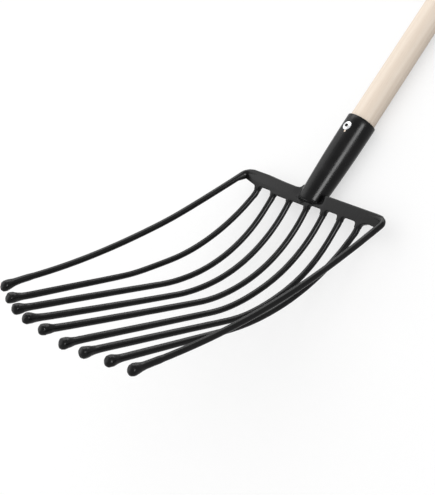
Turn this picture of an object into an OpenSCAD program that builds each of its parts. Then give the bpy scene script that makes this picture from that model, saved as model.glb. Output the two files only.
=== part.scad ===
// Long handled fork with nine knob ended tines in a dished head, a tapered socket and a T grip.
// It lies on its back: handle along +Y, hollow side of the head up, tine tips towards -Y.

/* [Handle] */
// Length of the whole handle, from its end in the socket to the back of the grip
handle_len = 1100; // [700:10:1400]
// Shaft diameter where it enters the socket
shaft_d = 35; // [32:0.5:40]
// Depth of the shaft in the socket
shaft_seat = 95; // [60:5:110]
// Shaft diameter along the straight stretch that a wall clip holds
clip_d = 31; // [28:0.5:32]
// Length of that straight stretch
clip_len = 240; // [100:10:300]
// Length of the taper from the straight stretch to the middle of the grip
neck_len = 110; // [80:5:150]
// Shaft diameter at the thinnest part of the neck
neck_d = 24; // [21:0.5:26]
// Shaft diameter where it meets the grip
saddle_d = 26; // [22:0.5:27]
// Length over which the neck widens to the grip
saddle_len = 30; // [20:1:40]

/* [Grip] */
// Width of the T grip
grip_w = 122; // [90:1:160]
// Grip diameter in the middle
grip_d = 27; // [25:0.5:34]
// Grip diameter at both ends
grip_end_d = 20; // [16:0.5:23]
// Rounding of the grip ends
grip_edge_r = 4; // [1:0.5:6]
// Diameter of the shaft tenon in the grip
tenon_d = 16; // [12:0.5:18]
// How far the tenon runs past the middle of the grip
tenon_past = 7; // [4:0.5:9]
// Diameter of the dowel pin through grip and tenon
pin_d = 6; // [4:0.5:8]

/* [Socket] */
// Length of the socket from its nose to its mouth
socket_len = 128; // [115:1:180]
// Distance of the nose behind the front edge of the bar
nose_back = 2; // [0:0.5:4]
// Outside diameter of the nose
nose_d = 33; // [28:0.5:36]
// Rounding of the nose
nose_r = 5; // [2:0.5:8]
// Length of solid metal behind the nose
nose_solid = 23; // [23:0.5:27]
// Wall thickness of the socket
socket_wall = 2.5; // [2:0.1:4]

/* [Screw] */
// Distance of the screw from the socket mouth
screw_inset = 20.5; // [12:0.5:30]
// Screw thread diameter
screw_d = 4.5; // [3:0.5:6]
// Screw length under the head
screw_len = 22; // [12:1:30]
// Screw head diameter
screw_head_d = 11; // [9:0.5:13]
// Screw head height
screw_head_h = 3.4; // [3:0.1:4.5]
// Length of the slot that runs from the screw hole towards the bar
tail_len = 9.5; // [7:0.5:14]
// Width of that slot
tail_w = 2.4; // [1.2:0.2:3]
// Width of the cross recess
recess_w = 1.6; // [1:0.1:2]
// Length of the cross recess
recess_len = 6; // [4:0.5:7]
// Depth of the cross recess
recess_depth = 1.6; // [1:0.1:2.2]

/* [Bar] */
// Width of the bar plate from front to back
plate_w = 18; // [14:0.5:19]
// Thickness of the bar plate
plate_t = 7; // [5:0.5:9]
// Slope of the bar plate, in degrees down towards the tines
bar_dip = 18; // [14:1:26]
// Height of the front edge of the bar above the handle axis
bar_rise = 1; // [-1:0.5:3]
// Rounding of the webs between the tine roots
web_r = 5; // [3:0.5:7]

/* [Tines] */
// Thickness of a tine
tine_d = 8.2; // [6:0.2:9]
// Distance between neighbouring tines at the bar
root_pitch = 32.3; // [29:0.1:36]
// Distance between neighbouring tine tips
tip_pitch = 36; // [32:0.5:42]
// Rise of the straight tine ends above the handle line, in degrees
lift = 52.5; // [46:0.5:58]
// Depth of the head, square to the straight tine ends
depth = 107; // [100:0.5:120]
// Length of the middle tine along its straight end, from the bar
reach = 386; // [330:2:440]
// How far the outer tips sit behind the middle tip
sweep = 25; // [10:1:40]
// Power that shapes the row of tips
sweep_power = 1.6; // [1:0.1:2.5]
// Bend radius where a tine leaves the bar
root_bend_r = 20; // [14:1:26]
// Bend radius of the heel of the middle tine
heel_r = 182; // [140:2:210]
// Angle between the root and the straight end of the middle tine
root_angle = 62.5; // [56:0.5:68]
// Angle that the ends of the second and last but one tine still make with the other ends
near_end_angle = 2; // [0:0.5:4]
// Half the distance between the outer tines at the bar
outer_half = 132.5; // [127:0.5:137]
// Bend radius of the corner between bar and outer tine
elbow_r = 10; // [7:0.5:12]
// Angle between the start of an outer tine and the straight tine ends
outer_angle = 29; // [26:0.5:32]
// Bend radius of the long curve of an outer tine
outer_bend_r = 910; // [820:10:1100]
// Diameter of the knob on a tine tip
tip_d = 13; // [11:0.5:14]
// Length of the swelling behind the knob
tip_neck_len = 18; // [12:1:30]
// Diameter of the swelling where it meets the knob
tip_neck_d = 10.6; // [9.2:0.2:10.8]

/* [Fits] */
// Clearance between pieces that sit in one another
fit_gap = 0.15; // [0.05:0.05:0.3]

/* [Hidden] */
rod_fn = 48;
arc_fn = 360;
steel_color = [0.13, 0.13, 0.14];
wood_color = [0.88, 0.77, 0.63];
zinc_color = [0.80, 0.80, 0.82];
// Overrun of every cut past the faces that it opens
cut_over = 1;
// A straight length reaches into the bends beside it and is a trace thicker than they are
lap_share = 0.08;
lap_rise_share = 0.02;
// Root angle, heel radius and end angle of the inner tines, from the middle out
root_angle_shares = [1, 0.96, 0.88, 0.715];
heel_shares = [1, 1.08, 1.07, 1.6];
end_shares = [0, 0, 0, 1];
middle = 5;
per_side = 4;

lap = tine_d * lap_share;
splice_d = tine_d * (1 + lap_rise_share);

// Stations along the handle, from the front edge of the bar
mouth_y = nose_back + socket_len;
shaft_end_y = mouth_y - shaft_seat;
grip_back_y = shaft_end_y + handle_len;
grip_y = grip_back_y - grip_d / 2;
clip_end_y = grip_y - neck_len;
clip_start_y = clip_end_y - clip_len;
saddle_y = grip_y - grip_d / 2 - saddle_len;
bore_y = nose_back + nose_solid;
screw_y = mouth_y - screw_inset;
mouth_r = shaft_d / 2 + fit_gap + socket_wall;

// Radius of the grip's long curve, from its width and its two diameters
grip_sag = (grip_d - grip_end_d) / 2;
grip_curve_r = (pow(grip_w / 2, 2) + pow(grip_sag, 2)) / (2 * grip_sag);

function socket_r(y) = nose_d / 2 + (mouth_r - nose_d / 2) * (y - nose_back) / socket_len;
screw_seat = socket_r(screw_y + screw_head_d / 2);

// A tine heading is an angle above the handle line; moves are [y, z]
function run_step(heading, len) = [-cos(heading) * len, sin(heading) * len];
function bend_step(r, h0, h1) = [r * (sin(h0) - sin(h1)), r * (cos(h0) - cos(h1))];

function place(i) = abs(i - middle);
function tine_reach(i) = reach - sweep * pow(place(i) / per_side, sweep_power);

// The bar's plane, seen from the straight tine ends
bar_angle = lift + bar_dip;
stub = web_r + fit_gap;
function angle_at(i) = root_angle * root_angle_shares[place(i)];
function end_at(i) = near_end_angle * end_shares[place(i)];
function turn_at(i) = angle_at(i) - end_at(i);
// What a tine has left to go past its root bend: along its straight end, and square to it
function fore_left(i) =
    tine_reach(i) - stub * cos(bar_angle) - root_bend_r * (sin(bar_angle) - sin(angle_at(i)));
function fall_left(i) =
    depth - stub * sin(bar_angle) - root_bend_r * (cos(angle_at(i)) - cos(bar_angle));
function end_left(i) = fore_left(i) * cos(end_at(i)) + fall_left(i) * sin(end_at(i));
function off_left(i) = fall_left(i) * cos(end_at(i)) - fore_left(i) * sin(end_at(i));
function heel_at(i) = min(heel_r * heel_shares[place(i)], off_left(i) / (1 - cos(turn_at(i))));
function slope_len(i) = (off_left(i) - heel_at(i) * (1 - cos(turn_at(i)))) / sin(turn_at(i));
function flat_len(i) =
    end_left(i) - slope_len(i) * cos(turn_at(i)) - heel_at(i) * sin(turn_at(i)) - tip_neck_len;
function fan_at(i) = asin((tip_pitch - root_pitch) * (i - middle) / tine_reach(i));

// The outer tine starts at the back edge of the bar and ends its curve at the tip neck
outer_heading = lift - outer_angle;
outer_start = [0, bar_rise] + run_step(-bar_dip, tine_d / 2 - plate_w);
outer_fore = (tine_d / 2 - plate_w) * cos(bar_angle) + elbow_r * cos(outer_angle);
outer_run = tine_reach(middle + per_side) - outer_fore - tip_neck_len;
outer_turn = outer_angle - asin(sin(outer_angle) - outer_run / outer_bend_r);
outer_chord = 2 * outer_bend_r * sin(outer_turn / 2);
outer_fan = asin((tip_pitch * per_side - outer_half) / (outer_chord + tip_neck_len));

// The middle tip is the foremost point and the socket mouth the lowest one
tip_y = -reach * cos(lift) - depth * sin(lift) - tip_d / 2;
mid_y = (tip_y + grip_back_y) / 2;

module in_place() {
    translate([0, -mid_y, mouth_r]) children();
}

module along_y() {
    rotate([-90, 0, 0]) children();
}

// Puts a piece at a point of a tine's path so that the path runs on along local -Y
module on_path(point, heading) {
    translate([0, point[0], point[1]]) rotate([-heading, 0, 0]) children();
}

module rod(len, d1, d2) {
    rotate([90, 0, 0]) cylinder(h = len, d1 = d1, d2 = d2, $fn = rod_fn);
}

module bend(r, turn) {
    translate([0, 0, r]) rotate([0, 90, 180])
        rotate_extrude(angle = turn, $fn = arc_fn)
            translate([r, 0]) circle(d = tine_d, $fn = rod_fn);
}

// A straight length that joins what comes before it to what follows
module splice(len) {
    translate([0, lap, 0]) rod(len + 2 * lap, splice_d, splice_d);
}

module knob() {
    rod(tip_neck_len, tine_d, tip_neck_d);
    translate([0, -tip_neck_len, 0]) sphere(d = tip_d, $fn = rod_fn);
}

module grip_barrel() {
    rotate([0, 90, 0]) rotate_extrude($fn = rod_fn * 2) difference() {
        intersection() {
            translate([grip_d / 2 - grip_curve_r, 0]) circle(r = grip_curve_r, $fn = arc_fn * 4);
            translate([0, -grip_w / 2]) square([grip_d, grip_w]);
        }
        for (side = [0, 1]) mirror([0, side])
            translate([grip_end_d / 2 - grip_edge_r, grip_w / 2 - grip_edge_r]) difference() {
                square(grip_edge_r + cut_over);
                circle(r = grip_edge_r, $fn = rod_fn);
            }
    }
}

module pin_hole(d) {
    cylinder(h = grip_d + 2 * cut_over, d = d, center = true, $fn = rod_fn);
}

module handle_shaft() {
    color(wood_color) in_place() difference() {
        union() {
            difference() {
                along_y() rotate_extrude($fn = rod_fn * 2) polygon([
                    [0, shaft_end_y],
                    [socket_r(shaft_end_y) - socket_wall - fit_gap, shaft_end_y],
                    [shaft_d / 2, mouth_y],
                    [clip_d / 2, clip_start_y],
                    [clip_d / 2, clip_end_y],
                    [neck_d / 2, saddle_y],
                    [saddle_d / 2, grip_y],
                    [0, grip_y],
                ]);
                translate([0, grip_y, 0]) rotate([0, 90, 0])
                    cylinder(h = grip_w, d = grip_d + 2 * fit_gap, center = true, $fn = rod_fn * 2);
            }
            translate([0, saddle_y, 0]) along_y()
                cylinder(h = grip_y - saddle_y + tenon_past, d = tenon_d, $fn = rod_fn);
        }
        translate([0, grip_y, 0]) pin_hole(pin_d + 2 * fit_gap);
        translate([0, screw_y, screw_seat - screw_len - fit_gap])
            cylinder(h = screw_len, d = screw_d + 2 * fit_gap, $fn = rod_fn);
    }
}

module t_grip() {
    color(wood_color) in_place() translate([0, grip_y, 0]) difference() {
        grip_barrel();
        translate([0, -grip_d, 0]) along_y()
            cylinder(h = grip_d + tenon_past + fit_gap, d = tenon_d + 2 * fit_gap, $fn = rod_fn);
        pin_hole(pin_d + 2 * fit_gap);
    }
}

module grip_pin() {
    color(wood_color) in_place() translate([0, grip_y, 0]) intersection() {
        grip_barrel();
        pin_hole(pin_d);
    }
}

// The bar's plate with its own frame: X across, Y back from the front edge, Z through the plate
module on_bar() {
    translate([0, 0, bar_rise]) rotate([bar_dip, 0, 0]) children();
}

module socket() {
    color(steel_color) in_place() difference() {
        along_y() rotate_extrude($fn = rod_fn * 2) difference() {
            polygon([
                [0, nose_back],
                [nose_d / 2, nose_back],
                [mouth_r, mouth_y],
                [socket_r(mouth_y) - socket_wall, mouth_y],
                [socket_r(bore_y) - socket_wall, bore_y],
                [0, bore_y],
            ]);
            translate([nose_d / 2 - nose_r, nose_back + nose_r]) difference() {
                translate([0, -nose_r - cut_over]) square(nose_r + cut_over);
                circle(r = nose_r, $fn = rod_fn * 2);
            }
        }
        on_bar() translate([-nose_d, -plate_w, -plate_t / 2 - fit_gap])
            cube([2 * nose_d, 2 * plate_w + fit_gap, plate_t + 2 * fit_gap]);
        translate([0, screw_y, 0]) {
            cylinder(h = 2 * mouth_r, d = screw_d + 2 * fit_gap, $fn = rod_fn);
            translate([-tail_w / 2, tail_w / 2 - tail_len, 0])
                cube([tail_w, tail_len - tail_w / 2, 2 * mouth_r]);
            translate([0, tail_w / 2 - tail_len, 0]) cylinder(h = 2 * mouth_r, d = tail_w, $fn = rod_fn);
        }
    }
}

module socket_screw() {
    // The head is the top of a ball that just covers its height and diameter
    head_ball_r = (pow(screw_head_d / 2, 2) + pow(screw_head_h, 2)) / (2 * screw_head_h);
    color(zinc_color) in_place() translate([0, screw_y, screw_seat]) {
        translate([0, 0, -screw_len]) cylinder(h = screw_len, d = screw_d, $fn = rod_fn);
        difference() {
            intersection() {
                translate([0, 0, screw_head_h - head_ball_r]) sphere(r = head_ball_r, $fn = rod_fn * 2);
                cylinder(h = screw_head_h, d = screw_head_d, $fn = rod_fn);
            }
            for (turn = [45, 135]) rotate(turn)
                translate([-recess_len / 2, -recess_w / 2, screw_head_h - recess_depth])
                    cube([recess_len, recess_w, recess_depth + cut_over]);
        }
    }
}

// One rounded gap between the roots of two neighbouring tines
module web_gap(x0, x1) {
    translate([x0 + web_r, -web_r - cut_over]) square([x1 - x0 - 2 * web_r, web_r + cut_over]);
    translate([x0, -web_r - cut_over]) square([x1 - x0, cut_over]);
    for (x = [x0 + web_r, x1 - web_r]) translate([x, -web_r]) circle(r = web_r, $fn = rod_fn);
}

module bar_outline() {
    end_x = outer_half - elbow_r;
    last_x = (per_side - 1) * root_pitch + tine_d / 2;
    difference() {
        translate([-end_x, -web_r]) square([2 * end_x, plate_w + web_r]);
        for (k = [1 - per_side : per_side - 2])
            web_gap(k * root_pitch + tine_d / 2, (k + 1) * root_pitch - tine_d / 2);
        for (side = [0, 1]) mirror([side, 0]) {
            translate([last_x + web_r, -web_r]) circle(r = web_r, $fn = rod_fn);
            polygon([
                [last_x, -web_r - cut_over],
                [last_x, -web_r],
                [last_x + web_r, -web_r],
                [last_x + web_r, 0],
                [end_x, plate_w - tine_d],
                [end_x + cut_over, plate_w - tine_d],
                [end_x + cut_over, -web_r - cut_over],
            ]);
        }
    }
}

module back_bar() {
    color(steel_color) in_place() on_bar()
        translate([0, 0, -plate_t / 2]) linear_extrude(plate_t) bar_outline();
}

module inner_tine(i) {
    leave = lift - angle_at(i);
    finish = lift - end_at(i);
    p0 = run_step(-bar_dip, stub);
    p1 = p0 + bend_step(root_bend_r, -bar_dip, leave);
    p2 = p1 + run_step(leave, slope_len(i));
    p3 = p2 + bend_step(heel_at(i), leave, finish);
    p4 = p3 + run_step(finish, flat_len(i));
    translate([(i - middle) * root_pitch, 0, bar_rise])
        rotate(a = fan_at(i), v = [0, sin(lift), cos(lift)]) {
            on_path(p0, -bar_dip) bend(root_bend_r, bar_dip + leave);
            on_path(p1, leave) splice(slope_len(i));
            on_path(p2, leave) bend(heel_at(i), turn_at(i));
            on_path(p3, finish) splice(flat_len(i));
            on_path(p4, finish) knob();
        }
}

// The right outer tine; the left one is its mirror image
module outer_tine() {
    arc_end = bend_step(outer_bend_r, 0, outer_turn);
    on_path(outer_start, outer_heading)
        translate([outer_half - elbow_r + fit_gap, -elbow_r, 0]) rotate(outer_fan) {
            rotate_extrude(angle = 90 - outer_fan, $fn = arc_fn)
                translate([elbow_r, 0]) circle(d = tine_d, $fn = rod_fn);
            translate([elbow_r, 0, 0]) {
                splice(0);
                bend(outer_bend_r, outer_turn);
                on_path(arc_end, outer_turn) {
                    splice(0);
                    knob();
                }
            }
        }
}

module tine(i) {
    color(steel_color) in_place() {
        if (place(i) < per_side) inner_tine(i);
        else mirror([i < middle ? 1 : 0, 0, 0]) outer_tine();
    }
}

handle_shaft();
t_grip();
grip_pin();
socket();
socket_screw();
back_bar();
tine(1);  // tine_1
tine(2);  // tine_2
tine(3);  // tine_3
tine(4);  // tine_4
tine(5);  // tine_5
tine(6);  // tine_6
tine(7);  // tine_7
tine(8);  // tine_8
tine(9);  // tine_9
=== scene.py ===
import math

import bmesh
import bpy
from mathutils import Matrix, Vector, noise


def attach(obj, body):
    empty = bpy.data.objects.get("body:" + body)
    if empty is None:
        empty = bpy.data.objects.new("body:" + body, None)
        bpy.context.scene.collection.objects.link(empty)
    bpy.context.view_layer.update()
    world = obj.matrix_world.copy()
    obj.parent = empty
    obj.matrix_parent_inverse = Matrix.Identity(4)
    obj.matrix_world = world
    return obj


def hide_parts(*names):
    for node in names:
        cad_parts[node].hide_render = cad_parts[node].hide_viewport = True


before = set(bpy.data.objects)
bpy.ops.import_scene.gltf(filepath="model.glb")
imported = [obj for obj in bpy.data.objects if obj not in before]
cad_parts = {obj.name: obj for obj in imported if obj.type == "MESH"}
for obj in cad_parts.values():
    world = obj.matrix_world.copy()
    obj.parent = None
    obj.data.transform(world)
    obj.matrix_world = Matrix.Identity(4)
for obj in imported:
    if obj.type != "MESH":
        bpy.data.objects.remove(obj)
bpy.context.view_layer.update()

# Back bar: a flat forged steel plate that carries the tines, with a short stub for each inner
# tine and a rounded web between the stubs. It is welded under the socket and lacquered black.
# All pieces are drawn in millimetres from the bar's front edge, with the handle along +Y.
mm = 0.001
bar_front_y = -0.40431
bar_front_z = 0.02015
to_part = Matrix.Translation((0, bar_front_y, bar_front_z)) @ Matrix.Scale(mm, 4)
# Points nearer to each other than this are one, and edges sharper than this stay sharp
touching = 0.001
crease = math.radians(40)
plate_w = 18.0
plate_t = 7.0
plate_edge_r = 1.6
bar_dip = math.radians(18)
bar_rise = 1.0
root_pitch = 32.3
tine_d = 8.2
stub_w = 8.4
stub_len = 6.6
stub_corner_r = 2.0
round_gap = 0.1
bar_half = 130.0
bar_skew = 2.5
bar_bow = 0.4
hollow_left = 0.8
hollow_right = 7.0
hollow_x = 17.0
hollow_half_w = 13.0
hollow_start = 3.0
hollow_run = 9.0
# Lines that part the plate into narrow strips, so that it can bend down into the hollow
strips_x = range(-33, 34, 2)
strips_y = range(2, 17, 2)
# The forged outline, from the left end along the front edge to the right end and back
left_end = [(-120.5, 17.6), (-126.5, 10.0), (-125.8, 3.4)]
web_fronts = [-1.2, -0.4, -3.5, -3.2, 0.4, 1.0, 0.9, -1.0]
right_end = [(110.0, 3.1), (131.0, 2.0), (132.8, 9.4), (127.2, 18.6)]
back_edge = [(119, 19.2), (73, 19.1), (41, 19.0), (15, 18.6), (13.5, 23.5), (-15, 23.5),
             (-17.6, 22.0), (-19.2, 19.8), (-22, 18.0), (-29, 17.0), (-57, 17.5), (-84, 18.8),
             (-114, 18.6)]
web_r = 3.6
end_corner_r = 2.4
inner_a_side = 3
inner_places = range(-inner_a_side, inner_a_side + 1)
root_nudges = [-0.8, -0.9, -1.1, 0.8, 0.0, -1.8, -1.7]


def root_x(place):
    return place * root_pitch + root_nudges[place + inner_a_side]


def bar_wander(x):
    # The forged bar isn't quite square to the handle, nor quite straight
    share = x / bar_half
    return bar_skew * share + bar_bow * share ** 2


def bar_hollow(x, back):
    # The back of the plate is hammered down beside the socket, which so stands clear of it
    beside = min(max(1 - abs(abs(x) - hollow_x) / hollow_half_w, 0), 1)
    behind = min(max((back - hollow_start) / hollow_run, 0), 1)
    deep = hollow_left if x < 0 else hollow_right
    return deep * beside ** 2 * (3 - 2 * beside) * behind ** 2 * (3 - 2 * behind)


def black_lacquer_material():
    material = bpy.data.materials.new("black_lacquer")
    material.use_nodes = True
    nodes = material.node_tree.nodes
    link = material.node_tree.links.new
    shader = nodes["Principled BSDF"]
    shader.inputs["Specular IOR Level"].default_value = 0.13
    place = nodes.new("ShaderNodeTexCoord")
    cloud = nodes.new("ShaderNodeTexNoise")
    cloud.inputs["Scale"].default_value = 55
    cloud.inputs["Detail"].default_value = 5
    link(place.outputs["Object"], cloud.inputs["Vector"])
    tone = nodes.new("ShaderNodeValToRGB")
    tone.color_ramp.elements[0].position = 0.3
    tone.color_ramp.elements[0].color = (0.003, 0.003, 0.0032, 1)
    tone.color_ramp.elements[1].position = 0.72
    tone.color_ramp.elements[1].color = (0.007, 0.007, 0.0073, 1)
    link(cloud.outputs["Fac"], tone.inputs["Fac"])
    link(tone.outputs["Color"], shader.inputs["Base Color"])
    gloss = nodes.new("ShaderNodeMapRange")
    gloss.inputs["From Min"].default_value = 0.3
    gloss.inputs["From Max"].default_value = 0.7
    gloss.inputs["To Min"].default_value = 0.21
    gloss.inputs["To Max"].default_value = 0.29
    link(cloud.outputs["Fac"], gloss.inputs["Value"])
    link(gloss.outputs["Result"], shader.inputs["Roughness"])
    hammered = nodes.new("ShaderNodeTexNoise")
    hammered.inputs["Scale"].default_value = 210
    hammered.inputs["Detail"].default_value = 3
    link(place.outputs["Object"], hammered.inputs["Vector"])
    peel = nodes.new("ShaderNodeTexNoise")
    peel.inputs["Scale"].default_value = 1300
    peel.inputs["Detail"].default_value = 1
    link(place.outputs["Object"], peel.inputs["Vector"])
    dents = nodes.new("ShaderNodeBump")
    dents.inputs["Strength"].default_value = 0.06
    dents.inputs["Distance"].default_value = 0.0012
    link(hammered.outputs["Fac"], dents.inputs["Height"])
    skin = nodes.new("ShaderNodeBump")
    skin.inputs["Strength"].default_value = 0.04
    skin.inputs["Distance"].default_value = 0.0003
    link(peel.outputs["Fac"], skin.inputs["Height"])
    link(dents.outputs["Normal"], skin.inputs["Normal"])
    link(skin.outputs["Normal"], shader.inputs["Normal"])
    return material


def moved_verts(geom):
    return [g for g in geom if isinstance(g, bmesh.types.BMVert)]


def add_piece(bm, name, material, slot, *nodes):
    bmesh.ops.remove_doubles(bm, verts=bm.verts, dist=touching)
    bmesh.ops.recalc_face_normals(bm, faces=bm.faces)
    bmesh.ops.transform(bm, matrix=to_part, verts=bm.verts)
    mesh = bpy.data.meshes.new(name)
    bm.to_mesh(mesh)
    bm.free()
    mesh.shade_smooth()
    mesh.set_sharp_from_angle(angle=crease)
    mesh.materials.append(material)
    piece = bpy.data.objects.new(name, mesh)
    bpy.context.scene.collection.objects.link(piece)
    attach(piece, "root")
    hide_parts(*nodes)
    return piece


black_lacquer = black_lacquer_material()
on_bar = Matrix.Translation((0, 0, bar_rise)) @ Matrix.Rotation(bar_dip, 4, "X")

bm = bmesh.new()
corners = [(x, back, end_corner_r) for x, back in left_end]
for place in inner_places:
    web_left, web_right = web_fronts[place + inner_a_side:place + inner_a_side + 2]
    for side, front in ((-1, web_left), (1, web_right)):
        x = root_x(place) + side * stub_w / 2
        room = stub_len + front - stub_corner_r - round_gap
        root = [(x, front, min(room, web_r)), (x, -stub_len, stub_corner_r)]
        corners += root[::-side]
corners += [(x, back, end_corner_r) for x, back in right_end]
outline = [(x, back) for x, back, corner_r in corners] + back_edge
bm.faces.new([bm.verts.new((x, back, -plate_t / 2)) for x, back in outline])
for x, back, corner_r in corners:
    corner = min(bm.verts, key=lambda v: math.hypot(v.co.x - x, v.co.y - back))
    bmesh.ops.bevel(bm, geom=[corner], offset=corner_r, segments=5, profile=0.5,
                    affect="VERTICES", material=-1)
raised = bmesh.ops.extrude_face_region(bm, geom=bm.faces[:])["geom"]
bmesh.ops.translate(bm, verts=moved_verts(raised), vec=(0, 0, plate_t))
bmesh.ops.recalc_face_normals(bm, faces=bm.faces)
rims = [e for e in bm.edges if abs(e.verts[0].co.z - e.verts[1].co.z) < touching]
bmesh.ops.bevel(bm, geom=rims, offset=plate_edge_r, segments=4, profile=0.5,
                affect="EDGES", material=-1)
cuts = [((x, 0, 0), (1, 0, 0)) for x in strips_x]
cuts += [((0, back, 0), (0, 1, 0)) for back in strips_y]
for through, facing in cuts:
    plate = bm.verts[:] + bm.edges[:] + bm.faces[:]
    bmesh.ops.bisect_plane(bm, geom=plate, plane_co=through, plane_no=facing)
for v in bm.verts:
    v.co.z -= bar_hollow(v.co.x, v.co.y)
    v.co.y += bar_wander(v.co.x)
bmesh.ops.transform(bm, matrix=on_bar, verts=bm.verts)
add_piece(bm, "bar_plate", black_lacquer, "black_lacquer", "back_bar")

# Tines: nine round steel rods drawn out and bent by hand over a form, so that no two are quite
# alike. Each ends in a forged knob that keeps it from piercing roots. The inner seven stand on
# the stubs of the bar, and the outer two turn a corner into its ends; all are lacquered black.
tines_a_side = inner_a_side + 1
middle_tine = tines_a_side + 1
lift = math.radians(52.5)
depth = 107.0
reach = 386.0
sweep = 25.0
sweep_power = 1.6
tip_pitch = 36.0
root_straight = 5.15
root_bend_r = 20.0
root_bend_steps = 8
root_taper = 0.4
root_rod_r = 3.9
# From the middle tine outwards
root_angle = [62.5, 60.0, 55.0, 44.69]
heel_r = [182.0, 196.56, 194.74, 291.2]
end_angle = [0.0, 0.0, 0.0, 2.0]
heel_steps = 30
straight_steps = 12
tip_neck_len = 18.0
rod_sides = 28
# The outer rods start inside the bar, thinner than the plate, and swell towards the corner
outer_root_r = 3.35
outer_root_swells = [(12, 1.1), (10, 1.11)]
outer_rod_r = 4.09
outer_half = 132.5
elbow_r = 10.0
elbow_steps = 12
corner_fill = 3.2
corner_run_out = 1.0
fill_way = Vector((-0.63, 0, -0.77)).normalized()
outer_angle = math.radians(29)
outer_bend_r = 910.0
outer_bend_steps = 34
outer_straight = 6.0
outer_nudges = {1: 4.0, 9: 2.2}
# Distance from the front edge of the bar and radius of the swollen root in the stub
root_profile = [(-1.5, 3.2), (1.5, 3.65), (3.5, 4.05), (root_straight, 4.15)]
# Distance before the middle of the knob and radius of the swelling and the knob
knob_profile = [(34, 4.5), (26, 4.52), (20, 4.58), (15.5, 4.72), (12.5, 4.98), (10, 5.36),
                (7.5, 5.86), (5, 6.4), (2.5, 6.8), (0, 7.0), (-2, 6.85), (-3.6, 6.25), (-4.8, 5.2),
                (-5.6, 3.7), (-6.0, 1.8)]
knob_start = knob_profile[0][0]
lean_start = 9.0
# Each tine's bow and the lift of its end off the drawn line, its extra length, the rise of its
# knob, and how many degrees the face of the knob leans
hand_work = {
    1: (-0.4, 0.0, -6.0, -2.1, 10), 2: (1.0, -1.0, -3.2, 1.6, 20), 3: (1.5, 0.5, 1.7, 0.5, 4),
    4: (-1.2, 1.5, 2.6, 1.4, 14), 5: (-0.8, 1.5, -0.3, 0.8, 8), 6: (-0.8, -2.0, -2.6, -0.6, 8),
    7: (0.5, 0.0, -0.6, -0.3, 6), 8: (-0.3, 1.5, -3.2, -0.2, 12), 9: (0.2, -1.0, 0.5, 0.3, 14),
}
# Where along its length a tine was hammered up or down a little, and by how much
soft_rises = {1: (0.32, -0.7), 2: (0.43, 2.2), 3: (0.38, 0.4), 4: (0.36, 0.4), 5: (0.27, 0.5),
              6: (0.26, 1.2), 7: (0.27, 1.4)}
soft_rise_len = 0.1
# The share of its length in which a tine runs out of the bar's skew and of its own root's place
skew_share = 0.6
nudge_share = 0.25
# The hammer's marks, which deepen where the knob was forged
forged_from = 0.94
forged_share = 0.06
broad_marks = 0.16
fine_marks = 0.42
rod_mark_depth = 0.1
knob_mark_depth = 0.4
fine_mark_depth = 0.35
marks_apart = 40.0


def rod_ring(bm, centre, turned_to, radius):
    ring = bmesh.ops.create_circle(bm, segments=rod_sides, radius=radius)["verts"]
    bmesh.ops.transform(bm, matrix=Matrix.Translation(centre) @ turned_to, verts=ring)
    return list(dict.fromkeys(e for v in ring for e in v.link_edges))


def ring_verts(edges):
    return list(dict.fromkeys(v for e in edges for v in e.verts))


def ring_middle(edges):
    return sum((v.co for v in ring_verts(edges)), Vector()) / rod_sides


def draw_rod(bm, edges, move, grow):
    drawn = bmesh.ops.extrude_edge_only(bm, edges=edges)["geom"]
    verts = moved_verts(drawn)
    bmesh.ops.translate(bm, verts=verts, vec=move)
    middle = sum((v.co for v in verts), Vector()) / len(verts)
    bmesh.ops.scale(bm, verts=verts, vec=(grow, grow, grow), space=Matrix.Translation(-middle))
    inside = set(verts)
    return [g for g in drawn if isinstance(g, bmesh.types.BMEdge) and set(g.verts) <= inside]


def bend_rod(bm, edges, pivot, axis, angle, steps):
    bent = bmesh.ops.spin(bm, geom=ring_verts(edges) + edges, cent=pivot, axis=axis, angle=angle,
                          steps=steps, use_merge=False, use_duplicate=False)["geom_last"]
    return [g for g in bent if isinstance(g, bmesh.types.BMEdge)]


def forge_knob(bm, edges, along, up, straight, radius, rise, lean):
    grow = (knob_profile[0][1] / radius) ** (1 / straight_steps)
    for step in range(straight_steps):
        edges = draw_rod(bm, edges, along * straight / straight_steps, grow)
    last_back, last_size = knob_profile[0]
    last_lift = 0.0
    leaning = [back for back, size in knob_profile if back < lean_start]
    for back, size in knob_profile[1:]:
        lifted = rise * ((knob_start - back) / knob_start) ** 2
        move = along * (last_back - back) + up * (lifted - last_lift)
        edges = draw_rod(bm, edges, move, size / last_size)
        if back in leaning:
            tilt = Matrix.Rotation(math.radians(lean / len(leaning)), 3, along.cross(up))
            bmesh.ops.rotate(bm, verts=ring_verts(edges), cent=ring_middle(edges), matrix=tilt)
        last_back, last_size, last_lift = back, size, lifted
    bmesh.ops.contextual_create(bm, geom=edges)


def hammer_marks(spot):
    # Three even noise fields, one for each direction, which come out the same in every run
    shift = Vector((31.7, 0, 0))
    return Vector((noise.noise(spot), noise.noise(spot + shift), noise.noise(spot - shift)))


def heading_vectors(heading):
    along = Vector((0, -math.cos(heading), math.sin(heading)))
    return along, Vector((0, math.sin(heading), math.cos(heading)))


straight_end, flat_up = heading_vectors(lift)
bar_along = heading_vectors(-bar_dip)[0]
bar_angle = lift + bar_dip
across = Vector((1, 0, 0))


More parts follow.
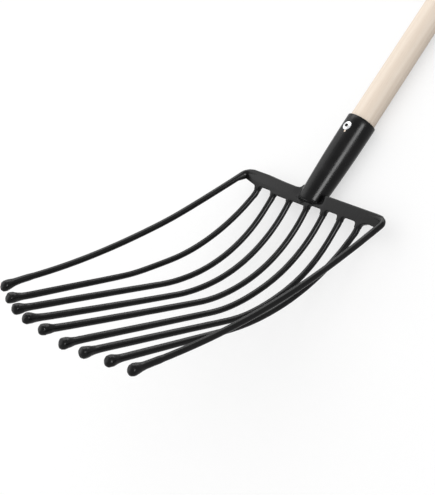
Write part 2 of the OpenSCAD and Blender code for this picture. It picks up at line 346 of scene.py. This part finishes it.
def finish_tine(bm, number, tine_reach, root_side, root_back):
    bow, tip, stretch = hand_work[number][:3]
    rise_at, rise_height = soft_rises.get(number, (0, 0))
    for v in bm.verts:
        share = min(max(v.co.dot(straight_end) / tine_reach, 0), 1)
        v.co += flat_up * (bow * 4 * share * (1 - share) + tip * share ** 2)
        v.co += flat_up * rise_height * math.exp(-((share - rise_at) / soft_rise_len) ** 2)
        v.co += straight_end * stretch * share ** 3
        v.co -= bar_along * root_back * max(1 - share / skew_share, 0) ** 2
        v.co += across * root_side * max(1 - share / nudge_share, 0) ** 2
        forged = max(share - forged_from, 0) / forged_share
        spot = v.co + Vector((0, 0, number * marks_apart))
        v.co += hammer_marks(spot * broad_marks) * (rod_mark_depth + knob_mark_depth * forged)
        v.co += hammer_marks(spot * fine_marks) * fine_mark_depth * forged
    add_piece(bm, f"tine_rod_{number}", black_lacquer, "black_lacquer", f"tine_{number}")


for place in inner_places:
    number = place + middle_tine
    side = abs(place)
    leave = math.radians(root_angle[side])
    end = math.radians(end_angle[side])
    turn = leave - end
    tine_reach = reach - sweep * (side / tines_a_side) ** sweep_power
    # The straight root and the straight end are what the two bends leave over
    fore = tine_reach - root_straight * math.cos(bar_angle)
    fore -= root_bend_r * (math.sin(bar_angle) - math.sin(leave))
    fall = depth - root_straight * math.sin(bar_angle)
    fall -= root_bend_r * (math.cos(leave) - math.cos(bar_angle))
    end_left = fore * math.cos(end) + fall * math.sin(end)
    off_left = fall * math.cos(end) - fore * math.sin(end)
    slope = (off_left - heel_r[side] * (1 - math.cos(turn))) / math.sin(turn)
    flat = end_left - slope * math.cos(turn) - heel_r[side] * math.sin(turn)

    bm = bmesh.new()
    along, up = heading_vectors(-bar_dip)
    face_on = Matrix.Rotation(math.pi / 2 + bar_dip, 4, "X")
    at, size = root_profile[0]
    edges = rod_ring(bm, along * at, face_on, size)
    for next_at, next_size in root_profile[1:]:
        edges = draw_rod(bm, edges, along * (next_at - at), next_size / size)
        at, size = next_at, next_size
    pivot = along * root_straight + up * root_bend_r
    edges = bend_rod(bm, edges, pivot, across, leave - bar_angle, root_bend_steps)
    along, up = heading_vectors(lift - leave)
    edges = draw_rod(bm, edges, along * slope * root_taper, root_rod_r / size)
    edges = draw_rod(bm, edges, along * slope * (1 - root_taper), 1.0)
    pivot = ring_middle(edges) + up * heel_r[side]
    edges = bend_rod(bm, edges, pivot, across, -turn, heel_steps)
    along, up = heading_vectors(lift - end)
    rise, lean = hand_work[number][3:]
    forge_knob(bm, edges, along, up, flat - knob_start, root_rod_r, rise, lean)
    fan = math.asin((tip_pitch - root_pitch) * place / tine_reach)
    bmesh.ops.transform(bm, matrix=Matrix.Rotation(fan, 4, flat_up), verts=bm.verts)
    bmesh.ops.translate(bm, verts=bm.verts, vec=(place * root_pitch, 0, bar_rise))
    finish_tine(bm, number, tine_reach, root_nudges[place + inner_a_side], bar_wander(root_x(place)))

outer_heading = lift - outer_angle
outer_reach = reach - sweep
outer_back = tine_d / 2 - plate_w
outer_run = outer_reach - outer_back * math.cos(bar_angle) - elbow_r * math.cos(outer_angle)
outer_run -= tip_neck_len
outer_turn = outer_angle - math.asin(math.sin(outer_angle) - outer_run / outer_bend_r)
outer_chord = 2 * outer_bend_r * math.sin(outer_turn / 2)
outer_fan = math.asin((tines_a_side * tip_pitch - outer_half) / (outer_chord + tip_neck_len))
outer_turn -= (knob_start + outer_straight - tip_neck_len) / outer_bend_r
corner_x = outer_half - elbow_r
outer_start_x = corner_x - sum(run for run, grow in outer_root_swells)
outer_place = Matrix.Translation(bar_along * outer_back + Vector((0, 0, bar_rise)))

for number, side in ((1, -1), (9, 1)):
    bm = bmesh.new()
    face_on = Matrix.Rotation(math.pi / 2, 4, "Y")
    edges = rod_ring(bm, (outer_start_x, 0, 0), face_on, outer_root_r)
    for run, grow in outer_root_swells:
        edges = draw_rod(bm, edges, across * run, grow)
    pivot = (corner_x, -elbow_r, 0)
    edges = bend_rod(bm, edges, pivot, (0, 0, 1), outer_fan - math.pi / 2, elbow_steps)
    lateral = Vector((math.cos(outer_fan), math.sin(outer_fan), 0))
    pivot = ring_middle(edges) + Vector((0, 0, outer_bend_r))
    edges = bend_rod(bm, edges, pivot, lateral, -outer_turn, outer_bend_steps)
    along = Vector((math.sin(outer_fan), -math.cos(outer_fan), 0))
    along.rotate(Matrix.Rotation(-outer_turn, 3, lateral))
    up = along.cross(lateral)
    rise, lean = hand_work[number][3:]
    forge_knob(bm, edges, along, up, outer_straight, outer_rod_r, rise, lean)
    # The inside of the corner was left thick when the rod was bent
    for v in bm.verts:
        turned = math.atan2(v.co.x - corner_x, v.co.y + elbow_r) / (math.pi / 2)
        if turned > 0 and v.co.y > -elbow_r - corner_run_out:
            swing = turned * math.pi / 2
            rod_x = corner_x + elbow_r * math.sin(swing)
            rod_y = elbow_r * (math.cos(swing) - 1)
            outwards = (v.co - Vector((rod_x, rod_y, 0))).normalized()
            facing = max(outwards.dot(fill_way), 0)
            v.co += fill_way * corner_fill * facing * turned ** 2
    bmesh.ops.transform(bm, matrix=outer_place @ Matrix.Rotation(-outer_heading, 4, "X"),
                        verts=bm.verts)
    bmesh.ops.scale(bm, vec=(side, 1, 1), verts=bm.verts)
    finish_tine(bm, number, outer_reach, outer_nudges[number], bar_wander(side * outer_half))

# Socket: a tapered tube rolled and forged from steel sheet, open at the back for the shaft and
# closed at the nose. Smooth welds join its left side and its nose to the bar, and a slotted hole
# near its mouth takes the screw. It is lacquered together with the head.
socket_len = 128.5
nose_y = 1.5
mouth_y = nose_y + socket_len
nose_radius = 16.5
mouth_radius = 20.15
socket_swell = 0.9
socket_wall = 2.5
bore_y = 25.0
bore_margin = 1.0
nose_round = 4.0
round_steps = 8
nose_flat_rings = range(12)
lip_round = 0.7
lip_cut = 0.3 * lip_round
mouth_straight = 8.0
ring_step = 6.0
weld_ring_step = 0.6
weld_end_y = 32.0
weld_r = 5.0
nose_weld_left = 4.6
nose_weld_right = 0.6
weld_change_w = 4.0
weld_change_at = 1.5
nose_slant = 0.6
slant_low = 1.0
slant_len = 22.0
screw_y = mouth_y - 18.1
screw_turn = Matrix.Rotation(math.radians(3.2), 4, "Y")
slot_lean = Matrix.Rotation(math.radians(10), 4, "Z")
slot_len = 9.5
slot_w = 2.8
slot_low = 10.0
slot_high = 30.0


def socket_radius(y):
    # The taper swells a little between the nose and the mouth
    share = (y - nose_y) / socket_len
    taper = (mouth_radius - nose_radius) * share
    return nose_radius + taper + socket_swell * math.sin(math.pi * share)


def turn_on_lathe(bm, points, axis, steps):
    verts = [bm.verts.new(p) for p in points]
    edges = [bm.edges.new(pair) for pair in zip(verts, verts[1:])]
    bmesh.ops.spin(bm, geom=verts + edges, cent=(0, 0, 0), axis=axis, angle=2 * math.pi,
                   steps=steps, use_merge=True, use_duplicate=False)
    bmesh.ops.remove_doubles(bm, verts=bm.verts, dist=touching)


def cut_away(piece, bm):
    bmesh.ops.recalc_face_normals(bm, faces=bm.faces)
    bmesh.ops.transform(bm, matrix=to_part, verts=bm.verts)
    tool_mesh = bpy.data.meshes.new("cutting_tool")
    bm.to_mesh(tool_mesh)
    bm.free()
    tool = bpy.data.objects.new("cutting_tool", tool_mesh)
    bpy.context.scene.collection.objects.link(tool)
    cut = piece.modifiers.new("cut", "BOOLEAN")
    cut.operation = "DIFFERENCE"
    cut.solver = "EXACT"
    cut.object = tool
    depsgraph = bpy.context.evaluated_depsgraph_get()
    shaped = bpy.data.meshes.new_from_object(piece.evaluated_get(depsgraph))
    piece.modifiers.clear()
    piece.data = shaped
    shaped.name = piece.name
    shaped.set_sharp_from_angle(angle=crease)
    bpy.data.objects.remove(tool)


bm = bmesh.new()
profile = [(r, nose_y) for r in nose_flat_rings]
for step in range(round_steps + 1):
    swing = math.radians(90 * step / round_steps)
    profile.append((nose_radius - nose_round + nose_round * math.sin(swing),
                    nose_y + nose_round - nose_round * math.cos(swing)))
station = nose_y + nose_round
while station < weld_end_y:
    station += weld_ring_step
    profile.append((socket_radius(station), station))
while station < mouth_y - mouth_straight:
    station += ring_step
    profile.append((socket_radius(station), station))
profile += [
    (mouth_radius, mouth_y - lip_round),
    (mouth_radius - lip_cut, mouth_y - lip_cut),
    (mouth_radius - lip_round, mouth_y),
    (mouth_radius - socket_wall + lip_round, mouth_y),
    (mouth_radius - socket_wall, mouth_y - lip_round),
    (socket_radius(bore_y) - socket_wall, bore_y),
    (0, bore_y),
]
turn_on_lathe(bm, [(0, y, r) for r, y in profile], axis=(0, 1, 0), steps=200)
to_bar = on_bar.inverted()


def fillet(radius, gap):
    return radius - math.sqrt(radius ** 2 - max(radius - gap, 0) ** 2)


for v in bm.verts:
    size = math.hypot(v.co.x, v.co.z)
    in_bore = v.co.y > bore_y - bore_margin and size < socket_radius(v.co.y) - bore_margin
    if v.co.y > weld_end_y or in_bore:
        continue
    near = to_bar @ v.co
    above = max(abs(near.z + bar_hollow(near.x, near.y)) - plate_t / 2, 0)
    past_nose = v.co.y - nose_y
    # The weld swells out to the left where the tube meets the plate
    left = max(-v.co.x / (size + touching), 0)
    swell = fillet(weld_r, math.hypot(max(-near.y, near.y - plate_w, 0), above))
    v.co.x -= swell * left * min(past_nose / nose_round, 1)
    # In front, the nose runs down to the edge of the bar, and below the bar it slants back
    side = min(max(v.co.x / weld_change_w + weld_change_at, -1), 1)
    ahead = (nose_weld_right - nose_weld_left) * (side + 1) / 2 + nose_weld_left
    v.co.y -= fillet(ahead, above) * max(1 - past_nose / (2 * nose_round), 0)
    v.co.y += nose_slant * max(-v.co.z - slant_low, 0) * max(1 - past_nose / slant_len, 0)
socket_tube = add_piece(bm, "socket_tube", black_lacquer, "black_lacquer", "socket")


def slot_block(bm, width, low, high):
    slot_end_y = screw_y - slot_len + slot_w / 2
    ring = bmesh.ops.create_circle(bm, cap_ends=True, segments=32, radius=width / 2)["verts"]
    bmesh.ops.translate(bm, verts=ring, vec=(0, slot_end_y, low))
    near_screw = [v for v in ring if v.co.y > slot_end_y + touching]
    bmesh.ops.translate(bm, verts=near_screw, vec=(0, screw_y - slot_end_y, 0))
    cap = list(ring[0].link_faces)
    top = moved_verts(bmesh.ops.extrude_face_region(bm, geom=cap, use_keep_orig=True)["geom"])
    bmesh.ops.translate(bm, verts=top, vec=(0, 0, high - low))
    bmesh.ops.rotate(bm, verts=ring + top, cent=(0, screw_y, 0), matrix=slot_lean)
    bmesh.ops.transform(bm, matrix=screw_turn, verts=ring + top)


bm = bmesh.new()
slot_block(bm, slot_w, slot_low, slot_high)
cut_away(socket_tube, bm)

# Screw: a zinc plated pan head wood screw with a cross recess. It goes through the socket's wall
# into the shaft and keeps the two together.
screw_head_d = 12.2
screw_head_h = 1.7
screw_d = 4.5
screw_len = 22.0
screw_point_r = 0.6
screw_point_len = 1.2
screw_taper_len = 6.0
screw_seat = socket_radius(screw_y + screw_head_d / 2)
head_undercut = 0.3
head_rim = 0.05
dome_steps = 10
recess_w = 2.4
recess_len = 5.6
recess_depth = 1.6
recess_taper = (0.55, 0.7, 1)
recess_turns = (45, 135)
# Depth below the top of the head where the painted shade in the cross recess is centred
recess_shade_depth = 2.4


def zinc_material():
    material = bpy.data.materials.new("zinc")
    material.use_nodes = True
    nodes = material.node_tree.nodes
    link = material.node_tree.links.new
    shader = nodes["Principled BSDF"]
    shader.inputs["Metallic"].default_value = 1.0
    place = nodes.new("ShaderNodeTexCoord")
    spangle = nodes.new("ShaderNodeTexNoise")
    spangle.inputs["Scale"].default_value = 900
    spangle.inputs["Detail"].default_value = 4
    link(place.outputs["Object"], spangle.inputs["Vector"])
    tone = nodes.new("ShaderNodeValToRGB")
    tone.color_ramp.elements[0].position = 0.3
    tone.color_ramp.elements[0].color = (0.48, 0.49, 0.5, 1)
    tone.color_ramp.elements[1].position = 0.7
    tone.color_ramp.elements[1].color = (0.66, 0.66, 0.67, 1)
    link(spangle.outputs["Fac"], tone.inputs["Fac"])
    # Painted shade darkens the plating at the bottom of the cross recess
    recess_shade_z = screw_seat + screw_head_h - recess_shade_depth
    depth_in = nodes.new("ShaderNodeVectorMath")
    depth_in.operation = "DISTANCE"
    depth_in.inputs[1].default_value = to_part @ (screw_turn @ Vector((0, screw_y, recess_shade_z)))
    link(place.outputs["Object"], depth_in.inputs[0])
    shade_fade = nodes.new("ShaderNodeMapRange")
    shade_fade.inputs["From Min"].default_value = 0.003
    shade_fade.inputs["From Max"].default_value = 0.0038
    link(depth_in.outputs["Value"], shade_fade.inputs["Value"])
    # Mixes the painted shade of the recess into the plating's colour
    recess_shaded = nodes.new("ShaderNodeMix")
    recess_shaded.data_type = "RGBA"
    recess_shaded.inputs["A"].default_value = (0.03, 0.028, 0.026, 1)
    link(shade_fade.outputs["Result"], recess_shaded.inputs["Factor"])
    link(tone.outputs["Color"], recess_shaded.inputs["B"])
    link(recess_shaded.outputs["Result"], shader.inputs["Base Color"])
    gloss = nodes.new("ShaderNodeMapRange")
    gloss.inputs["From Min"].default_value = 0.3
    gloss.inputs["From Max"].default_value = 0.7
    gloss.inputs["To Min"].default_value = 0.22
    gloss.inputs["To Max"].default_value = 0.38
    link(spangle.outputs["Fac"], gloss.inputs["Value"])
    link(gloss.outputs["Result"], shader.inputs["Roughness"])
    grains = nodes.new("ShaderNodeBump")
    grains.inputs["Strength"].default_value = 0.15
    grains.inputs["Distance"].default_value = 0.0002
    link(spangle.outputs["Fac"], grains.inputs["Height"])
    link(grains.outputs["Normal"], shader.inputs["Normal"])
    return material


zinc = zinc_material()
bm = bmesh.new()
head_r = screw_head_d / 2
ball_r = (head_r ** 2 + screw_head_h ** 2) / (2 * screw_head_h)
profile = [
    (0, -screw_len),
    (screw_point_r, -screw_len + screw_point_len),
    (screw_d / 2, -screw_len + screw_taper_len),
    (screw_d / 2, 0),
    (head_r - head_undercut, 0),
]
for step in range(dome_steps + 1):
    swing = math.asin((head_r - head_rim) / ball_r) * (1 - step / dome_steps)
    profile.append((ball_r * math.sin(swing), screw_head_h - ball_r + ball_r * math.cos(swing)))
turn_on_lathe(bm, [(r, 0, z) for r, z in profile], axis=(0, 0, 1), steps=48)
bmesh.ops.translate(bm, verts=bm.verts, vec=(0, screw_y, screw_seat))
bmesh.ops.transform(bm, matrix=screw_turn, verts=bm.verts)
screw = add_piece(bm, "pan_head_screw", zinc, "zinc", "socket_screw")

for turn in recess_turns:
    bm = bmesh.new()
    bmesh.ops.create_cube(bm, size=1)
    bmesh.ops.scale(bm, vec=(recess_len, recess_w, 2 * recess_depth), verts=bm.verts)
    low = [v for v in bm.verts if v.co.z < 0]
    bmesh.ops.scale(bm, vec=recess_taper, verts=low)
    bmesh.ops.rotate(bm, verts=bm.verts, matrix=Matrix.Rotation(math.radians(turn), 3, "Z"))
    bmesh.ops.translate(bm, verts=bm.verts, vec=(0, screw_y, screw_seat + screw_head_h))
    bmesh.ops.transform(bm, matrix=screw_turn, verts=bm.verts)
    cut_away(screw, bm)

# Shaft: a pole turned from pale hardwood and sanded but not varnished. It is driven into the
# socket, runs straight along its upper half and narrows to a neck that is glued into the grip.
shaft_end_y = 35.0
shaft_end_radius = 14.8
shaft_radius = 17.5
clip_radius = 15.5
clip_start_y = 771.5
clip_end_y = 1011.5
neck_radius = 12.0
saddle_y = 1078.0
saddle_radius = 13.0
grip_y = 1121.5
shaft_top_y = grip_y - 8
slot_play = 0.1
slot_sunk = 0.3


def raw_wood_material(name, grain_turn, pith):
    material = bpy.data.materials.new(name)
    material.use_nodes = True
    nodes = material.node_tree.nodes
    link = material.node_tree.links.new
    shader = nodes["Principled BSDF"]
    shader.inputs["Specular IOR Level"].default_value = 0.25

    def along_grain(stretch):
        mapping = nodes.new("ShaderNodeMapping")
        mapping.inputs["Scale"].default_value = (1, stretch, 1)
        link(grain.outputs["Vector"], mapping.inputs["Vector"])
        return mapping.outputs["Vector"]

    def noise_on(vector, scale, detail):
        texture = nodes.new("ShaderNodeTexNoise")
        texture.inputs["Scale"].default_value = scale
        texture.inputs["Detail"].default_value = detail
        link(vector, texture.inputs["Vector"])
        return texture.outputs["Fac"]

    def add_share(value, share, onto):
        math_node = nodes.new("ShaderNodeMath")
        math_node.operation = "MULTIPLY_ADD"
        math_node.inputs[1].default_value = share
        link(value, math_node.inputs[0])
        if onto is None:
            math_node.inputs[2].default_value = 0
        else:
            link(onto, math_node.inputs[2])
        return math_node.outputs["Value"]

    place = nodes.new("ShaderNodeTexCoord")
    grain = nodes.new("ShaderNodeMapping")
    grain.inputs["Location"].default_value = pith
    grain.inputs["Rotation"].default_value = (0, 0, grain_turn)
    link(place.outputs["Object"], grain.inputs["Vector"])
    rings = nodes.new("ShaderNodeTexWave")
    rings.wave_type = "RINGS"
    rings.rings_direction = "Y"
    rings.inputs["Scale"].default_value = 90
    rings.inputs["Distortion"].default_value = 2.5
    rings.inputs["Detail"].default_value = 2
    rings.inputs["Detail Scale"].default_value = 0.6
    link(along_grain(stretch=0.06), rings.inputs["Vector"])
    fibres = noise_on(along_grain(stretch=0.02), scale=1500, detail=4)
    cloudy = noise_on(along_grain(stretch=0.2), scale=22, detail=3)
    flecks = noise_on(along_grain(stretch=0.16), scale=620, detail=2)
    fleck_cut = nodes.new("ShaderNodeMapRange")
    fleck_cut.inputs["From Min"].default_value = 0.6
    fleck_cut.inputs["From Max"].default_value = 0.72
    link(flecks, fleck_cut.inputs["Value"])
    shade = add_share(rings.outputs["Fac"], share=0.2, onto=None)
    shade = add_share(fibres, share=0.42, onto=shade)
    shade = add_share(cloudy, share=0.3, onto=shade)
    shade = add_share(fleck_cut.outputs["Result"], share=-0.16, onto=shade)
    tone = nodes.new("ShaderNodeValToRGB")
    tone.color_ramp.elements[0].position = 0.18
    tone.color_ramp.elements[0].color = (0.78, 0.655, 0.535, 1)
    tone.color_ramp.elements[1].position = 0.72
    tone.color_ramp.elements[1].color = (0.895, 0.785, 0.67, 1)
    link(shade, tone.inputs["Fac"])
    link(tone.outputs["Color"], shader.inputs["Base Color"])
    sanded = nodes.new("ShaderNodeMapRange")
    sanded.inputs["To Min"].default_value = 0.68
    sanded.inputs["To Max"].default_value = 0.52
    link(fibres, sanded.inputs["Value"])
    link(sanded.outputs["Result"], shader.inputs["Roughness"])
    pores = nodes.new("ShaderNodeBump")
    pores.inputs["Strength"].default_value = 0.18
    pores.inputs["Distance"].default_value = 0.0004
    link(shade, pores.inputs["Height"])
    link(pores.outputs["Normal"], shader.inputs["Normal"])
    return material


shaft_wood = raw_wood_material("shaft_wood", grain_turn=0, pith=(0.028, 0, 0.02))
bm = bmesh.new()
# Radius and place of each line cut on the lathe, from the end in the socket to the grip
profile = [
    (0, shaft_end_y),
    (shaft_end_radius, shaft_end_y),
    (shaft_radius, mouth_y),
    (clip_radius, clip_start_y),
    (clip_radius, clip_end_y),
    (clip_radius - 0.7, clip_end_y + 16),
    (neck_radius + 0.5, saddle_y - 14),
    (neck_radius, saddle_y),
    (neck_radius + 0.15, saddle_y + 12),
    (saddle_radius - 0.3, saddle_y + 26),
    (saddle_radius + 0.4, grip_y - 12),
    (saddle_radius, shaft_top_y),
    (0, shaft_top_y),
]
turn_on_lathe(bm, [(0, y, r) for r, y in profile], axis=(0, 1, 0), steps=96)
# Driven in hard, the wood fills the slot of the socket
slot_block(bm, slot_w - slot_play, slot_low, socket_radius(screw_y - slot_len) - slot_sunk)
add_piece(bm, "shaft_pole", shaft_wood, "raw_wood", "handle_shaft")

# Grip: a barrel turned from the same pale wood with its grain across the shaft, thickest in the
# middle and rounded at both ends. The shaft's tenon is glued into it from below.
grip_half = 61.0
grip_radius = 13.5
grip_end_radius = 10.0
grip_edge_r = 4.0
barrel_steps = 16
grip_wood = raw_wood_material("grip_wood", grain_turn=math.pi / 2, pith=(0.02, 0.03, 0.015))
grip_sag = grip_radius - grip_end_radius
grip_curve_r = (grip_half ** 2 + grip_sag ** 2) / (2 * grip_sag)


def grip_size(x):
    return grip_radius - grip_curve_r + math.sqrt(grip_curve_r ** 2 - x ** 2)


bm = bmesh.new()
straight_half = grip_half - grip_edge_r
edge_r_here = grip_size(straight_half) - grip_edge_r
right_half = []
for step in range(barrel_steps + 1):
    x = straight_half * step / barrel_steps
    right_half.append((grip_size(x), x))
for step in range(1, round_steps + 1):
    swing = math.radians(90 * step / round_steps)
    right_half.append((edge_r_here + grip_edge_r * math.cos(swing),
                       straight_half + grip_edge_r * math.sin(swing)))
right_half.append((0, grip_half))
profile = [(r, -x) for r, x in reversed(right_half[1:])] + right_half
turn_on_lathe(bm, [(x, 0, r) for r, x in profile], axis=(1, 0, 0), steps=72)
bmesh.ops.translate(bm, verts=bm.verts, vec=(0, grip_y, 0))
add_piece(bm, "grip_barrel", grip_wood, "raw_wood", "t_grip")

# Pin: a short hardwood dowel driven through the grip and the tenon and sanded flush, so that
# only its warm end grain shows above and below.
pin_radius = 3.0
pin_half = 13.62
pin_edge_w = 0.5
pin_edge_h = 0.35
pin_dome = 0.05
# How far the pith of the dowel's wood lies off the pin's middle, in metres
pin_pith_x = 0.004
pin_pith_y = 0.003


def dowel_end_material():
    material = bpy.data.materials.new("dowel_end")
    material.use_nodes = True
    nodes = material.node_tree.nodes
    link = material.node_tree.links.new
    shader = nodes["Principled BSDF"]
    shader.inputs["Roughness"].default_value = 0.6
    place = nodes.new("ShaderNodeTexCoord")
    centre = nodes.new("ShaderNodeMapping")
    pin_y = grip_y * mm + bar_front_y
    centre.inputs["Location"].default_value = (pin_pith_x, -pin_y + pin_pith_y, 0)
    link(place.outputs["Object"], centre.inputs["Vector"])
    rings = nodes.new("ShaderNodeTexWave")
    rings.wave_type = "RINGS"
    rings.rings_direction = "Z"
    rings.inputs["Scale"].default_value = 260
    rings.inputs["Distortion"].default_value = 1.2
    link(centre.outputs["Vector"], rings.inputs["Vector"])
    pores = nodes.new("ShaderNodeTexNoise")
    pores.inputs["Scale"].default_value = 2600
    pores.inputs["Detail"].default_value = 3
    link(place.outputs["Object"], pores.inputs["Vector"])
    mixed = nodes.new("ShaderNodeMath")
    mixed.operation = "MULTIPLY"
    link(rings.outputs["Fac"], mixed.inputs[0])
    link(pores.outputs["Fac"], mixed.inputs[1])
    tone = nodes.new("ShaderNodeValToRGB")
    tone.color_ramp.elements[0].position = 0.05
    tone.color_ramp.elements[0].color = (0.46, 0.28, 0.15, 1)
    tone.color_ramp.elements[1].position = 0.5
    tone.color_ramp.elements[1].color = (0.68, 0.47, 0.29, 1)
    link(mixed.outputs["Value"], tone.inputs["Fac"])
    link(tone.outputs["Color"], shader.inputs["Base Color"])
    rough_end = nodes.new("ShaderNodeBump")
    rough_end.inputs["Strength"].default_value = 0.3
    rough_end.inputs["Distance"].default_value = 0.0003
    link(mixed.outputs["Value"], rough_end.inputs["Height"])
    link(rough_end.outputs["Normal"], shader.inputs["Normal"])
    return material


bm = bmesh.new()
profile = [
    (0, -pin_half),
    (pin_radius - pin_edge_w, -pin_half + pin_dome),
    (pin_radius, -pin_half + pin_edge_h),
    (pin_radius, pin_half - pin_edge_h),
    (pin_radius - pin_edge_w, pin_half - pin_dome),
    (0, pin_half),
]
turn_on_lathe(bm, [(r, 0, z) for r, z in profile], axis=(0, 0, 1), steps=40)
bmesh.ops.translate(bm, verts=bm.verts, vec=(0, grip_y, 0))
add_piece(bm, "dowel_pin", dowel_end_material(), "pin_wood", "grip_pin")

# Studio: a plain floor of white paper in an even white surround. Both look white to the camera
# and in reflections, while they light the fork at a plain level, and the paper keeps its shadow.
floor_half = 30
floor_glow = 0.58
surround_level = 0.94
scene = bpy.context.scene
scene.view_settings.view_transform = "Standard"


def white_to_view(nodes, link):
    rays = nodes.new("ShaderNodeLightPath")
    seen = nodes.new("ShaderNodeMath")
    seen.operation = "MAXIMUM"
    link(rays.outputs["Is Camera Ray"], seen.inputs[0])
    link(rays.outputs["Is Glossy Ray"], seen.inputs[1])
    seen_through = nodes.new("ShaderNodeMath")
    seen_through.operation = "MAXIMUM"
    link(seen.outputs["Value"], seen_through.inputs[0])
    link(rays.outputs["Is Transmission Ray"], seen_through.inputs[1])
    return seen_through.outputs["Value"]


bm = bmesh.new()
bmesh.ops.create_grid(bm, x_segments=2, y_segments=2, size=floor_half)
floor_mesh = bpy.data.meshes.new("floor")
bm.to_mesh(floor_mesh)
bm.free()
floor = bpy.data.objects.new("floor", floor_mesh)
scene.collection.objects.link(floor)
paper = bpy.data.materials.new("white_paper")
paper.use_nodes = True
nodes = paper.node_tree.nodes
link = paper.node_tree.links.new
shader = nodes["Principled BSDF"]
shader.inputs["Base Color"].default_value = (0.42, 0.42, 0.42, 1)
shader.inputs["Roughness"].default_value = 0.9
shader.inputs["Specular IOR Level"].default_value = 0.0
shader.inputs["Emission Color"].default_value = (1, 1, 1, 1)
glow = nodes.new("ShaderNodeMath")
glow.operation = "MULTIPLY"
glow.inputs[1].default_value = floor_glow
link(white_to_view(nodes, link), glow.inputs[0])
link(glow.outputs["Value"], shader.inputs["Emission Strength"])
floor_mesh.materials.append(paper)

world = bpy.data.worlds.new("studio")
scene.world = world
world.use_nodes = True
nodes = world.node_tree.nodes
link = world.node_tree.links.new
surround = nodes["Background"]
surround.inputs["Color"].default_value = (1, 1, 1, 1)
level = nodes.new("ShaderNodeMapRange")
level.inputs["To Min"].default_value = surround_level
level.inputs["To Max"].default_value = 1.0
link(white_to_view(nodes, link), level.inputs["Value"])
link(level.outputs["Result"], surround.inputs["Strength"])


# Lamps: one broad soft lamp above and to the left lights everything. The other four are seen only
# as reflections that draw the lacquer's bright lines: a panel at the upper left, one low behind
# the grip, one behind and above, and a strip with a narrow beam on the camera's side.
def soft_lamp(name, place, aim, width, length, watts, gloss_only, spread=180):
    lamp_data = bpy.data.lights.new(name, "AREA")
    lamp_data.shape = "RECTANGLE"
    lamp_data.size = width
    lamp_data.size_y = length
    lamp_data.energy = watts
    lamp_data.spread = math.radians(spread)
    lamp = bpy.data.objects.new(name, lamp_data)
    scene.collection.objects.link(lamp)
    lamp.location = place
    lamp.rotation_euler = (Vector(aim) - Vector(place)).to_track_quat("-Z", "Y").to_euler()
    lamp.visible_diffuse = not gloss_only


soft_lamp("overhead_softbox", place=(-1.2, -0.1, 1.9), aim=(0, -0.3, 0),
          width=2.2, length=2.2, watts=8, gloss_only=False)
soft_lamp("panel_lamp", place=(-1.4, -0.6, 1.25), aim=(0, -0.35, 0.02),
          width=2.6, length=1.6, watts=18, gloss_only=True)
soft_lamp("low_panel", place=(-0.35, 1.9, 0.24), aim=(0, -0.6, 0.15),
          width=2.0, length=0.46, watts=17, gloss_only=True)
soft_lamp("back_panel", place=(-0.9, 1.2, 1.4), aim=(0, -0.6, 0.1),
          width=2.0, length=1.8, watts=48, gloss_only=True)
soft_lamp("strip_lamp", place=(1.44, -0.15, 0.72), aim=(0, -0.35, 0.05),
          width=0.9, length=0.7, watts=2.6, gloss_only=True, spread=40)

# Camera: it stands to the right of the head and above it, at the photo's angle. Its focal length
# is measured in pixels of the photo's frame, whose longer side fills the sensor.
focal_px = 1356.9
frame_h_px = 495
sensor = 36
camera_place = (1.22709, -0.72652, 1.22095)
camera_data = bpy.data.cameras.new("camera")
camera_data.sensor_width = sensor
camera_data.lens = focal_px / frame_h_px * sensor
camera = bpy.data.objects.new("camera", camera_data)
scene.collection.objects.link(camera)
right = Vector((0.6105, 0.5457, -0.5741))
view = Vector((-0.7358, 0.1226, -0.666)).normalized()
right = (right - view * right.dot(view)).normalized()
up = right.cross(view)
turned_to = Matrix((right, up, -view)).transposed().to_4x4()
camera.matrix_world = Matrix.Translation(camera_place) @ turned_to
scene.camera = camera
